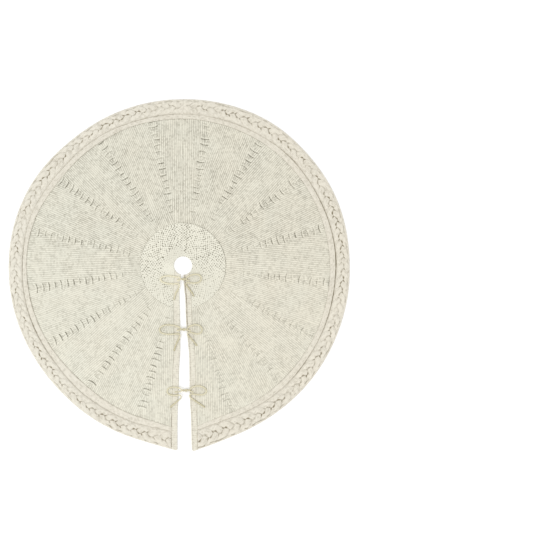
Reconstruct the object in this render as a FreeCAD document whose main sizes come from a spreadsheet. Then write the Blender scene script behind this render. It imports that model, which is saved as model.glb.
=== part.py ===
"""A round knitted tree skirt, 1.2 m across, laid flat with its three bows tied.

Millimetres, +Z up. The origin is the centre of the trunk hole at the underside of the cloth, +Y points to
the back and the slit runs to -Y. The skirt folds in half for storage along the line through the slit, the
hole and the back centre, so every piece that crosses that line is made as a left and a right half.
"""
import FreeCAD, Part
import math
import os

import Sketcher

Vector = FreeCAD.Vector
UP = Vector(0, 0, 1)
LEFT, RIGHT = "left", "right"
FULL_GORES = 7
ARC_SHARE = 0.45  # of the shorter run beside a corner, taken up by the arc that rounds the corner

SIZES = {
    # Plan of the skirt, about the centre of the trunk hole.
    "hole_radius": 32.5,
    "yoke_radius": 152.0,
    "hem_radius": 609.6,
    "hem_centre_x": -10.0,
    "hem_centre_y": -19.5,
    # The two front corners, where the hem meets the slit.
    "corner_left_x": -20.0,
    "corner_left_y": -649.0,
    "corner_right_x": 31.0,
    "corner_right_y": -652.0,
    # Lines that run round inside the hem: how far in they lie, and how far in at the front corners.
    "hem_inset": 0.0,
    "hem_front_inset": 0.0,
    "groove_inset": 44.0,
    "groove_front_inset": 58.0,
    "seam_inset": 70.0,
    "seam_front_inset": 86.0,
    # The slit, from the hole's centre line down, and the ribbed bands along it.
    "slit_left_x": -7.4,
    "slit_right_x": 0.5,
    "slit_band_width": 22.0,
    # Angles of the gores on each side of the back centre.
    "back_gore_left": 12.0,
    "back_gore_right": 10.0,
    "gore_angle": 21.7,
    # Thicknesses.
    "cloth_thickness": 5.0,
    "band_thickness": 6.0,
    "cable_thickness": 10.0,
    "cable_round": 3.5,
    # Gap along the fold, on the left half's side.
    "fold_gap": 0.3,
    # Ties.
    "cord_diameter": 4.5,
    "knot_radius": 3.9,
    "knot_round": 2.4,
    "knot_grip": 0.35,
    # Left end of each bow's knot, and how far forward of the hole it lies.
    "knot_top_x": -5.0,
    "knot_top_y": -48.0,
    "knot_middle_x": -5.0,
    "knot_middle_y": -226.0,
    "knot_lower_x": -1.0,
    "knot_lower_y": -441.5,
    # Reach of the shapes that only cut others.
    "cutter_reach": 720.0,
    "cutter_height": 20.0,
}

# Each tie lies as a flat loop and a tail: it is sewn to its flap, runs to the knot, turns out into the
# loop, comes back to the knot and ends in the tail.
TIE_ROUTES = {
    "tie_top_left": [
        (-21.0, -52.0, 8.4), (-8.5, -52.0, 8.8), (-8.5, -42.0, 9.0), (-26.0, -35.5, 8.6),
        (-47.0, -31.0, 7.8), (-66.0, -32.0, 7.8), (-77.0, -38.5, 7.8), (-81.0, -49.0, 7.8),
        (-72.0, -59.0, 7.8), (-54.0, -64.5, 7.8), (-33.0, -65.0, 8.4), (-15.5, -63.0, 8.6),
        (-10.5, -71.0, 8.6), (-17.0, -83.0, 8.5), (-25.0, -97.0, 8.4), (-29.5, -110.0, 8.4),
        (-31.5, -122.0, 8.2),
    ],
    "tie_top_right": [
        (24.0, -53.0, 8.4), (11.5, -53.0, 8.8), (11.5, -43.0, 9.0), (24.0, -35.0, 8.6),
        (42.0, -29.5, 7.8), (57.0, -32.0, 7.8), (65.5, -41.0, 7.8), (65.0, -52.5, 7.8),
        (55.0, -60.0, 7.8), (40.0, -62.5, 8.0), (26.0, -61.0, 8.6), (14.0, -59.5, 8.6),
        (9.0, -67.0, 8.6), (17.0, -76.5, 8.4), (26.0, -88.0, 8.2), (34.0, -99.0, 7.9),
        (39.0, -109.0, 7.8),
    ],
    "tie_middle_left": [
        (-22.0, -229.5, 8.4), (-9.0, -229.0, 8.8), (-8.5, -219.0, 9.0), (-27.0, -212.5, 8.6),
        (-51.0, -209.0, 7.8), (-70.0, -211.5, 7.8), (-81.0, -219.0, 7.8), (-84.0, -230.5, 7.8),
        (-74.0, -240.0, 7.8), (-54.0, -243.5, 7.8), (-31.0, -242.5, 8.4), (-13.5, -240.5, 8.6),
        (-9.0, -248.5, 8.6), (-15.0, -260.0, 8.5), (-22.5, -275.0, 8.4), (-29.0, -290.0, 8.4),
        (-31.5, -303.0, 8.2),
    ],
    "tie_middle_right": [
        (29.0, -230.5, 8.4), (16.0, -230.5, 8.8), (16.0, -220.5, 9.0), (29.0, -211.5, 8.6),
        (46.0, -208.0, 7.8), (61.0, -213.0, 7.8), (68.5, -224.0, 7.8), (66.0, -236.0, 7.8),
        (54.5, -242.5, 7.8), (40.5, -240.5, 7.8), (29.0, -236.5, 8.5), (18.5, -237.0, 8.6),
        (15.5, -245.5, 8.6), (25.0, -254.0, 8.4), (34.5, -264.5, 8.2), (43.0, -274.5, 7.9),
        (50.0, -284.0, 7.8),
    ],
    "tie_lower_left": [
        (-29.0, -448.0, 8.4), (-16.0, -447.0, 8.6), (-5.0, -445.5, 8.8), (-5.5, -435.5, 9.0),
        (-19.0, -431.0, 8.6), (-36.0, -429.5, 8.0), (-50.0, -433.5, 7.8), (-57.0, -443.0, 7.8),
        (-53.0, -453.5, 7.8), (-40.0, -459.0, 8.2), (-24.0, -458.5, 8.6), (-9.5, -457.5, 8.6),
        (-5.5, -466.0, 8.6), (-13.5, -475.0, 8.5), (-24.5, -484.0, 8.4), (-35.5, -493.5, 8.4),
        (-46.0, -502.0, 8.2),
    ],
    "tie_lower_right": [
        (37.5, -446.5, 8.4), (24.0, -446.5, 8.8), (24.0, -436.5, 9.0), (37.0, -428.0, 8.6),
        (55.0, -425.0, 7.8), (72.0, -429.5, 7.8), (83.0, -439.0, 7.8), (82.5, -450.5, 7.8),
        (71.0, -457.0, 7.8), (54.0, -457.5, 7.8), (38.0, -454.5, 8.4), (26.5, -454.0, 8.6),
        (22.5, -462.5, 8.6), (31.0, -471.0, 8.4), (45.5, -480.0, 8.0), (62.0, -490.5, 7.8),
        (78.0, -502.0, 7.8),
    ],
}
BOWS = ("top", "middle", "lower")

doc = FreeCAD.newDocument("tree_skirt")
sheet = doc.addObject("Spreadsheet::Sheet", "Sizes")
for row, (alias, number) in enumerate(SIZES.items(), 1):
    sheet.set(f"A{row}", alias)
    sheet.set(f"B{row}", str(number))
    sheet.setAlias(f"B{row}", alias)
doc.recompute()

sub_parts = []


def size(alias):
    """Reads a driving dimension from the sheet."""
    return float(sheet.get(alias))


def keep(piece, name):
    """Names a finished sub-part and puts it on the list of what is written out."""
    piece.Label = name
    sub_parts.append(piece)
    return piece


def bind(piece, **formulas):
    """Binds properties of a piece to formulas of the sheet's cells."""
    for name, formula in formulas.items():
        piece.setExpression(name, formula)


# Sketches ------------------------------------------------------------------------------------------------


def flat_sketch(body, name):
    """Adds a sketch on the body's own XY plane, which is the underside of the cloth."""
    sketch = body.newObject("Sketcher::SketchObject", name)
    plane = next(feature for feature in body.Origin.OriginFeatures if feature.Role == "XY_Plane")
    sketch.AttachmentSupport = [(plane, "")]
    sketch.MapMode = "FlatFace"
    return sketch


def fix_point(sketch, edge, end, x_formula, y_formula):
    """Holds one point of an edge at formulas of the sheet, measured from the sketch's origin."""
    here = sketch.getPoint(edge, end)
    for kind, number, formula in (("DistanceX", here.x, x_formula), ("DistanceY", here.y, y_formula)):
        constraint = sketch.addConstraint(Sketcher.Constraint(kind, -1, 1, edge, end, number))
        sketch.setExpression(f"Constraints[{constraint}]", formula)


def draw_circle(sketch, alias):
    """Draws a circle round the trunk hole's centre."""
    circle = sketch.addGeometry(Part.Circle(Vector(), UP, size(alias)), False)
    sketch.addConstraint(Sketcher.Constraint("Coincident", circle, 3, -1, 1))
    constraint = sketch.addConstraint(Sketcher.Constraint("Radius", circle, size(alias)))
    sketch.setExpression(f"Constraints[{constraint}]", f"Sizes.{alias}")


def draw_outline(sketch, line):
    """Draws the hem, the groove or the seam: a circle whose front runs straight to the flap corners."""
    centre = Vector(size("hem_centre_x"), size("hem_centre_y"), 0)
    radius = size("hem_radius") - size(f"{line}_inset")
    rise = Vector(0, size(f"{line}_front_inset"), 0)
    left = Vector(size("corner_left_x"), size("corner_left_y"), 0) + rise
    right = Vector(size("corner_right_x"), size("corner_right_y"), 0) + rise

    def touch_angle(corner, side):
        """Angle at which a straight line from the corner touches the circle."""
        away = corner - centre
        return math.atan2(away.y, away.x) + side * math.acos(radius / away.Length)

    circle = Part.Circle(centre, UP, radius)
    start, stop = touch_angle(right, 1), touch_angle(left, -1) + 2 * math.pi
    arc = sketch.addGeometry(Part.ArcOfCircle(circle, start, stop), False)
    arc_start, arc_stop = sketch.getPoint(arc, 1), sketch.getPoint(arc, 2)
    left_run = sketch.addGeometry(Part.LineSegment(arc_stop, left), False)
    mouth = sketch.addGeometry(Part.LineSegment(left, right), False)
    right_run = sketch.addGeometry(Part.LineSegment(right, arc_start), False)
    sketch.addConstraint(Sketcher.Constraint("Tangent", arc, 2, left_run, 1))
    sketch.addConstraint(Sketcher.Constraint("Tangent", right_run, 2, arc, 1))
    sketch.addConstraint(Sketcher.Constraint("Coincident", left_run, 2, mouth, 1))
    sketch.addConstraint(Sketcher.Constraint("Coincident", mouth, 2, right_run, 1))
    constraint = sketch.addConstraint(Sketcher.Constraint("Radius", arc, radius))
    sketch.setExpression(f"Constraints[{constraint}]", f"Sizes.hem_radius - Sizes.{line}_inset")
    fix_point(sketch, arc, 3, "Sizes.hem_centre_x", "Sizes.hem_centre_y")
    for edge, side in ((left_run, LEFT), (mouth, RIGHT)):
        fix_point(
            sketch, edge, 2, f"Sizes.corner_{side}_x", f"Sizes.corner_{side}_y + Sizes.{line}_front_inset"
        )


def draw_polygon(sketch, corners):
    """Draws a closed polygon; each corner is (x, y, x formula, y formula)."""
    points = [Vector(corner[0], corner[1], 0) for corner in corners]
    edges = [
        sketch.addGeometry(Part.LineSegment(point, following), False)
        for point, following in zip(points, points[1:] + points[:1])
    ]
    for edge, following in zip(edges, edges[1:] + edges[:1]):
        sketch.addConstraint(Sketcher.Constraint("Coincident", edge, 2, following, 1))
    for edge, corner in zip(edges, corners):
        fix_point(sketch, edge, 1, corner[2], corner[3])


def pad(body, sketch, length_formula):
    """Pads a sketch upwards from the floor."""
    feature = body.newObject("PartDesign::Pad", f"{body.Name}_pad")
    feature.Profile = sketch
    bind(feature, Length=length_formula)
    body.Tip = feature
    return feature


def plate(name, outer, inner, length_formula):
    """Makes a flat ring between two lines of the plan, as a body for the halves to be cut from."""
    body = doc.addObject("PartDesign::Body", name)
    sketch = flat_sketch(body, f"{name}_plan")
    for line in (outer, inner):
        if line.endswith("_radius"):
            draw_circle(sketch, line)
        else:
            draw_outline(sketch, line)
    pad(body, sketch, length_formula)
    return body


# Shapes that cut the rings into halves and gores ---------------------------------------------------------


def slit_line(side, offset, y):
    """Where a flap's edge, moved sideways by an offset, crosses a given y: the number and its formula."""
    top, bottom = size(f"slit_{side}_x"), size(f"corner_{side}_x")
    number = top + (bottom - top) * y / size(f"corner_{side}_y") + offset * size("slit_band_width")
    formula = (
        f"Sizes.slit_{side}_x + (Sizes.corner_{side}_x - Sizes.slit_{side}_x) * ({y})"
        f" / Sizes.corner_{side}_y + ({offset}) * Sizes.slit_band_width"
    )
    return number, formula


def side_block(side):
    """A block over one half of the skirt, from the fold line to the inner edge of the slit band."""
    outward = -1 if side == LEFT else 1
    far = outward * size("cutter_reach")
    reach = size("cutter_reach")
    gap, gap_formula = (-size("fold_gap"), "-Sizes.fold_gap") if side == LEFT else (0.0, "0")
    far_formula = f"({outward}) * Sizes.cutter_reach"
    top_x, top_formula = slit_line(side, outward, 0)
    low_x, low_formula = slit_line(side, outward, -reach)
    body = doc.addObject("PartDesign::Body", f"{side}_block")
    sketch = flat_sketch(body, f"{side}_block_plan")
    draw_polygon(
        sketch,
        [
            (gap, reach, gap_formula, "Sizes.cutter_reach"),
            (far, reach, far_formula, "Sizes.cutter_reach"),
            (far, -reach, far_formula, "-Sizes.cutter_reach"),
            (low_x, -reach, low_formula, "-Sizes.cutter_reach"),
            (top_x, 0, top_formula, "0"),
            (gap, 0, gap_formula, "0"),
        ],
    )
    pad(body, sketch, "Sizes.cutter_height")
    return body


def slit_strip(side):
    """A straight strip as wide as the slit band, from the hole's centre line to beyond the hem."""
    outward = -1 if side == LEFT else 1
    reach = size("cutter_reach")
    corners = []
    for offset, y, y_formula in ((0, 0, "0"), (outward, 0, "0"), (outward, -reach, None), (0, -reach, None)):
        x, x_formula = slit_line(side, offset, y)
        corners.append((x, y, x_formula, y_formula or "-Sizes.cutter_reach"))
    body = doc.addObject("PartDesign::Body", f"{side}_strip")
    sketch = flat_sketch(body, f"{side}_strip_plan")
    draw_polygon(sketch, corners)
    pad(body, sketch, "Sizes.cutter_height")
    return body


def sector(name, angle_formula, start_formula):
    """A pie slice about the trunk hole's centre."""
    piece = doc.addObject("Part::Cylinder", name)
    piece.Placement = FreeCAD.Placement(Vector(), FreeCAD.Rotation(UP, 1))
    bind(
        piece,
        Radius="Sizes.cutter_reach",
        Height="Sizes.cutter_height",
        Angle=angle_formula,
    )
    piece.setExpression("Placement.Rotation.Angle", start_formula)
    return piece


def common(name, *shapes):
    """Keeps what all the shapes share as a finished sub-part."""
    piece = doc.addObject("Part::MultiCommon", name)
    piece.Shapes = list(shapes)
    return keep(piece, name)


# Pieces --------------------------------------------------------------------------------------------------


def round_cable(body):
    """Rounds the upper edges of the cable border, whose plait is crowned."""
    doc.recompute()
    flat = body.Tip
    top = size("cable_thickness")
    edges = [
        f"Edge{number}"
        for number, edge in enumerate(flat.Shape.Edges, 1)
        if abs(edge.BoundBox.ZMin - top) < 1e-6
    ]
    feature = body.newObject("PartDesign::Fillet", f"{body.Name}_fillet")
    feature.Base = (flat, edges)
    bind(feature, Radius="Sizes.cable_round")
    body.Tip = feature


def make_cloth():
    """Yoke, gores, plain band, cable border and slit bands, each as a left and a right piece."""
    yoke = plate("yoke_ring", "yoke_radius", "hole_radius", "Sizes.cloth_thickness")
    gores = plate("gore_ring", "seam", "yoke_radius", "Sizes.cloth_thickness")
    band = plate("band_ring", "groove", "seam", "Sizes.band_thickness")
    cable = plate("cable_ring", "hem", "groove", "Sizes.cable_thickness")
    flaps = plate("flap_ring", "hem", "hole_radius", "Sizes.band_thickness")
    round_cable(cable)
    for side in (LEFT, RIGHT):
        block, strip = side_block(side), slit_strip(side)
        common(f"yoke_{side}", yoke, block)
        common(f"plain_band_{side}", band, block)
        common(f"cable_border_{side}", cable, block)
        common(f"slit_band_{side}", flaps, strip)
        make_gores(side, gores, block)


def make_gores(side, ring, block):
    """The half gore at the back, the full gores and the narrow front gore of one side."""
    back = f"Sizes.back_gore_{side}"
    start = "90" if side == LEFT else f"90 - {back}"
    common(f"gore_back_{side}", ring, block, sector(f"sector_back_{side}", back, start))
    for number in range(1, FULL_GORES + 2):
        if side == LEFT:
            start = f"90 + {back} + {number - 1} * Sizes.gore_angle"
        else:
            start = f"90 - {back} - {number} * Sizes.gore_angle"
        label = str(number) if number <= FULL_GORES else "front"
        slice_cutter = sector(f"sector_{label}_{side}", "Sizes.gore_angle", start)
        common(f"gore_{label}_{side}", ring, block, slice_cutter)


def rounded_path(corners):
    """A wire of straight runs joined by tangent arcs, and the radii of its arcs."""
    edges, radii = [], []
    start = corners[0]
    for before, corner, after in zip(corners, corners[1:], corners[2:]):
        back, onward = before - corner, after - corner
        half_turn = (math.pi - back.getAngle(onward)) / 2
        reach = ARC_SHARE * min(back.Length, onward.Length)
        radius = reach / math.tan(half_turn)
        back.normalize()
        onward.normalize()
        inward = (back + onward).normalize()
        arc_start, arc_stop = corner + back * reach, corner + onward * reach
        middle = corner + inward * (radius / math.cos(half_turn) - radius)
        edges.append(Part.LineSegment(start, arc_start).toShape())
        edges.append(Part.Arc(arc_start, middle, arc_stop).toShape())
        radii.append(radius)
        start = arc_stop
    edges.append(Part.LineSegment(start, corners[-1]).toShape())
    return Part.Wire(edges), radii


def make_tie(name, route):
    """One tie cord as a round tube along its route."""
    corners = [Vector(*point) for point in route]
    path, radii = rounded_path(corners)
    radius = size("cord_diameter") / 2
    profile = Part.Wire(Part.Circle(corners[0], corners[1] - corners[0], radius).toShape())
    tube = path.makePipeShell([profile], True, False)
    if tube.ShapeType != "Solid":
        tube = Part.Solid(tube)
    expected = math.pi * radius**2 * path.Length
    print(
        f"{name}: length {path.Length:.0f} mm, volume {tube.Volume / expected:.4f} of section x length, "
        f"radii {' '.join(f'{value:.1f}' for value in radii)}"
    )
    if abs(tube.Volume / expected - 1) > 0.01:
        raise RuntimeError(f"{name} has the wrong volume")
    piece = doc.addObject("Part::Feature", name)
    piece.Shape = tube
    piece.Placement = FreeCAD.Placement()
    keep(piece, name)


def make_knot(bow):
    """The knot of one bow: a round-ended barrel across the slit that the right tie grips."""
    name = f"knot_{bow}"
    right_turn_x = TIE_ROUTES[f"tie_{bow}_right"][1][0]
    barrel = doc.addObject("Part::Cylinder", f"{name}_barrel")
    barrel.Placement = FreeCAD.Placement(Vector(), FreeCAD.Rotation(Vector(0, 1, 0), 90))
    bind(
        barrel,
        Radius="Sizes.knot_radius",
        Height=f"{right_turn_x} - Sizes.cord_diameter / 2 + Sizes.knot_grip - Sizes.{name}_x",
    )
    barrel.setExpression("Placement.Base.x", f"Sizes.{name}_x")
    barrel.setExpression("Placement.Base.y", f"Sizes.{name}_y")
    barrel.setExpression("Placement.Base.z", "Sizes.band_thickness + Sizes.knot_radius")
    doc.recompute()
    knot = doc.addObject("Part::Fillet", name)
    knot.Base = barrel
    rounding = size("knot_round")
    knot.Edges = [
        (number, rounding, rounding)
        for number, edge in enumerate(barrel.Shape.Edges, 1)
        if edge.Curve.TypeId == "Part::GeomCircle"
    ]
    keep(knot, name)


def write_out():
    """Checks every object and writes each sub-part's solid."""
    doc.recompute()
    failed = [item.Name for item in doc.Objects if {"Invalid", "Error"} & set(item.State)]
    if failed:
        raise RuntimeError(f"objects that did not compute: {failed}")
    os.makedirs("parts", exist_ok=True)
    for piece in sub_parts:
        shape = piece.Shape
        if shape.isNull() or not shape.isValid() or len(shape.Solids) != 1:
            raise RuntimeError(f"{piece.Label} is not one valid solid")
        shape.exportStep(f"parts/{piece.Label}.step")
        box = shape.BoundBox
        print(
            f"{piece.Label}: {shape.Volume / 1000:.1f} cm3, x {box.XMin:.1f} to {box.XMax:.1f}, "
            f"y {box.YMin:.1f} to {box.YMax:.1f}, z {box.ZMin:.1f} to {box.ZMax:.1f}"
        )


make_cloth()
for tie_name, tie_route in TIE_ROUTES.items():
    make_tie(tie_name, tie_route)
for bow_name in BOWS:
    make_knot(bow_name)
write_out()
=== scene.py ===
"""Looks of a knitted tree skirt, 1.2 m across, laid flat on a white floor with its three bows tied.

Lengths are in millimetres until MM turns them into the frame's metres. Angles run round from the back centre
in degrees, the same way on both halves.
"""

import math

import bpy
import numpy as np
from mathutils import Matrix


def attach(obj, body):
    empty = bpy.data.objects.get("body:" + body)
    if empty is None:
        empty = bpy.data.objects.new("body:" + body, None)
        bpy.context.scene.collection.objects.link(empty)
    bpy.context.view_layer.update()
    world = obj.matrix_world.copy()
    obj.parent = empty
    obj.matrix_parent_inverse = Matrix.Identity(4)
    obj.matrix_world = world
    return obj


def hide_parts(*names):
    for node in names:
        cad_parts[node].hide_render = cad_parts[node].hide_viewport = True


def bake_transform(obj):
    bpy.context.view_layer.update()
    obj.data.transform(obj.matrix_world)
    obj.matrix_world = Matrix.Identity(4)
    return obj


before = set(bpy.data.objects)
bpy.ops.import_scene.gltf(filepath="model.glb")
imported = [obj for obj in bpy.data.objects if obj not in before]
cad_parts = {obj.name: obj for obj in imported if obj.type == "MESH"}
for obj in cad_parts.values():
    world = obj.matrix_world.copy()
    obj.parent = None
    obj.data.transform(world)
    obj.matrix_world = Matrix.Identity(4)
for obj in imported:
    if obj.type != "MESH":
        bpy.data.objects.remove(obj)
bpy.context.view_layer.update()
MM = 0.001
LEFT, RIGHT = "left", "right"
OUTWARD = {LEFT: -1, RIGHT: 1}
rng = np.random.default_rng(48)

# Camera and light ----------------------------------------------------------------------------------------

scene = bpy.context.scene
scene.view_settings.view_transform = "Standard"
camera_data = bpy.data.cameras.new("camera")
camera_data.lens = 100
camera = bpy.data.objects.new("camera", camera_data)
camera.location = (0.3275, -0.0350, 5.424)
scene.collection.objects.link(camera)
scene.camera = camera

world = bpy.data.worlds.new("studio")
world.use_nodes = True
world.node_tree.nodes["Background"].inputs["Color"].default_value = (1, 1, 1, 1)
world.node_tree.nodes["Background"].inputs["Strength"].default_value = 1.06
scene.world = world


def area_light(name, place, aim, size, watts):
    """A square soft light that looks at a point."""
    data = bpy.data.lights.new(name, "AREA")
    data.size = size
    data.energy = watts
    light = bpy.data.objects.new(name, data)
    light.location = place
    away = np.array(aim) - np.array(place)
    flat = math.hypot(away[0], away[1])
    light.rotation_euler = (math.atan2(flat, -away[2]), 0, math.atan2(away[1], away[0]) - math.pi / 2)
    scene.collection.objects.link(light)


area_light("key", place=(-2.2, -2.0, 3.4), aim=(0, 0, 0), size=1.8, watts=50)

# Cords ---------------------------------------------------------------------------------------------------

CORD = 4.5
TIES = {
    "tie_top_left": [
        (-21.0, -52.0, 8.4), (-8.5, -52.0, 8.8), (-8.5, -42.0, 9.0), (-26.0, -39.5, 8.6),
        (-47.0, -36.0, 7.8), (-66.0, -37.0, 7.8), (-77.5, -42.0, 7.8), (-81.0, -50.0, 7.8),
        (-72.0, -59.0, 7.8), (-54.0, -64.5, 7.8), (-33.0, -65.0, 8.4), (-15.5, -63.0, 8.6),
        (-10.5, -71.0, 8.6), (-17.0, -83.0, 8.5), (-25.0, -97.0, 8.4), (-29.5, -110.0, 8.4),
        (-31.5, -122.0, 8.2),
    ],
    "tie_top_right": [
        (24.0, -53.0, 8.4), (11.5, -53.0, 8.8), (11.5, -43.0, 9.0), (24.0, -35.0, 8.6),
        (42.0, -29.5, 7.8), (57.0, -32.0, 7.8), (65.5, -41.0, 7.8), (65.0, -52.5, 7.8),
        (55.0, -60.0, 7.8), (40.0, -62.5, 8.0), (26.0, -61.0, 8.6), (14.0, -59.5, 8.6),
        (9.0, -67.0, 8.6), (17.0, -76.5, 8.4), (26.0, -88.0, 8.2), (34.0, -99.0, 7.9),
        (39.0, -109.0, 7.8),
    ],
    "tie_middle_left": [
        (-22.0, -229.5, 8.4), (-9.0, -229.0, 8.8), (-8.5, -219.0, 9.0), (-27.0, -212.5, 8.6),
        (-51.0, -209.0, 7.8), (-70.0, -211.5, 7.8), (-81.0, -219.0, 7.8), (-84.0, -230.5, 7.8),
        (-74.0, -240.0, 7.8), (-54.0, -243.5, 7.8), (-31.0, -242.5, 8.4), (-13.5, -240.5, 8.6),
        (-9.0, -248.5, 8.6), (-15.0, -260.0, 8.5), (-22.5, -275.0, 8.4), (-29.0, -290.0, 8.4),
        (-31.5, -303.0, 8.2),
    ],
    "tie_middle_right": [
        (29.0, -230.5, 8.4), (16.0, -230.5, 8.8), (16.0, -220.5, 9.0), (29.0, -211.5, 8.6),
        (46.0, -208.0, 7.8), (61.0, -213.0, 7.8), (68.5, -224.0, 7.8), (66.0, -236.0, 7.8),
        (54.5, -242.5, 7.8), (40.5, -240.5, 7.8), (29.0, -236.5, 8.5), (18.5, -237.0, 8.6),
        (15.5, -245.5, 8.6), (25.0, -254.0, 8.4), (34.5, -264.5, 8.2), (43.0, -274.5, 7.9),
        (50.0, -284.0, 7.8),
    ],
    "tie_lower_left": [
        (-29.0, -448.0, 8.4), (-16.0, -447.0, 8.6), (-5.0, -445.5, 8.8), (-5.5, -435.5, 9.0),
        (-19.0, -431.0, 8.6), (-36.0, -429.5, 8.0), (-50.0, -433.5, 7.8), (-57.0, -443.0, 7.8),
        (-53.0, -453.5, 7.8), (-40.0, -459.0, 8.2), (-24.0, -458.5, 8.6), (-9.5, -457.5, 8.6),
        (-5.5, -466.0, 8.6), (-13.5, -475.0, 8.5), (-24.5, -484.0, 8.4), (-35.5, -493.5, 8.4),
        (-46.0, -502.0, 8.2),
    ],
    "tie_lower_right": [
        (37.5, -446.5, 8.4), (24.0, -446.5, 8.8), (24.0, -436.5, 9.0), (37.0, -428.0, 8.6),
        (55.0, -425.0, 7.8), (72.0, -429.5, 7.8), (83.0, -439.0, 7.8), (82.5, -450.5, 7.8),
        (71.0, -457.0, 7.8), (54.0, -457.5, 7.8), (38.0, -454.5, 8.4), (26.5, -454.0, 8.6),
        (22.5, -462.5, 8.6), (31.0, -471.0, 8.4), (45.5, -480.0, 8.0), (62.0, -490.5, 7.8),
        (78.0, -502.0, 7.8),
    ],
}
# Each knot: the x of its left end and of its right end, and its y.
KNOTS = {
    "knot_top": (-5.0, 9.6, -48.0),
    "knot_middle": (-5.0, 14.1, -226.0),
    "knot_lower": (-1.0, 22.1, -441.5),
}
KNOT_HEIGHT = 9.7
# How long a stretch at the end of each tie's tail is painted darker, as shade.
SHADED_TAIL = 55.0
# Parts of a cord's radius: where its plies lie, how thick they are, and where the grooves between end.
PLY_PLACE, PLY_RADIUS, PLY_GROOVE = 0.54, 0.48, 0.66


def new_piece(name, points, quads, triangles, shade_and_tone, stitch, material):
    """A smooth-shaded mesh piece, in metres, with its attributes for the material."""
    mesh = bpy.data.meshes.new(name)
    mesh.vertices.add(len(points))
    mesh.vertices.foreach_set("co", np.ascontiguousarray(points * MM, np.float32).ravel())
    loops = np.concatenate([quads.ravel(), triangles.ravel()]).astype(np.int32)
    starts = np.concatenate([np.arange(len(quads)) * 4, 4 * len(quads) + np.arange(len(triangles)) * 3])
    mesh.loops.add(len(loops))
    mesh.loops.foreach_set("vertex_index", loops)
    mesh.polygons.add(len(starts))
    mesh.polygons.foreach_set("loop_start", starts.astype(np.int32))
    mesh.update(calc_edges=True)
    mesh.shade_smooth()
    # shade_and_tone: painted shade, with some random tone, which the material mixes towards a dark colour.
    mesh.attributes.new("shade_and_tone", "FLOAT", "POINT").data.foreach_set("value", shade_and_tone.astype(np.float32))
    lines = np.zeros((len(points), 3), np.float32)
    lines[:, :2] = stitch
    mesh.attributes.new("stitch", "FLOAT_VECTOR", "POINT").data.foreach_set("vector", lines.ravel())
    mesh.materials.append(material)
    piece = bpy.data.objects.new(name, mesh)
    scene.collection.objects.link(piece)
    return piece


def curve_points(points):
    """Points along the smooth line that the route's corners pull into shape, in the route's units."""
    curve = bpy.data.curves.new("route", "CURVE")
    curve.dimensions = "3D"
    curve.resolution_u = 12
    spline = curve.splines.new("NURBS")
    spline.points.add(len(points) - 1)
    for control, point in zip(spline.points, points):
        control.co = (*point, 1)
    spline.order_u = 3
    spline.use_endpoint_u = True
    holder = bpy.data.objects.new("route", curve)
    scene.collection.objects.link(holder)
    mesh = bpy.data.meshes.new_from_object(holder)
    line = np.zeros(3 * len(mesh.vertices))
    mesh.vertices.foreach_get("co", line)
    bpy.data.objects.remove(holder)
    bpy.data.meshes.remove(mesh)
    bpy.data.curves.remove(curve)
    return line.reshape(-1, 3)


def evenly(line, spacing):
    """The same line with its points a fixed distance apart, and how far along it each one is."""
    run = np.concatenate([[0], np.cumsum(np.linalg.norm(np.diff(line, axis=0), axis=1))])
    at = np.linspace(0, run[-1], max(4, round(run[-1] / spacing)))
    return np.stack([np.interp(at, run, line[:, axis]) for axis in range(3)], 1), at


def carried_sides(ahead):
    """A direction square to a line at each of its points, carried along without twist."""
    side = np.cross(ahead[0], (0, 0, 1.0))
    sides = []
    for direction in ahead:
        side = side - direction * side.dot(direction)
        side /= np.linalg.norm(side)
        sides.append(side)
    return np.array(sides)


def ply_outline(phase, radius, plies):
    """Distance from a cord's middle to its surface, round a section of that many plies."""
    sector = 2 * math.pi / plies
    near_ply = ((phase * plies / (2 * math.pi) + 0.5) % 1 - 0.5) * sector
    place, thick = PLY_PLACE * radius, PLY_RADIUS * radius
    inside = np.maximum(thick**2 - (place * np.sin(near_ply)) ** 2, 0)
    return np.maximum(place * np.cos(near_ply) + np.sqrt(inside), PLY_GROOVE * radius)


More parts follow.
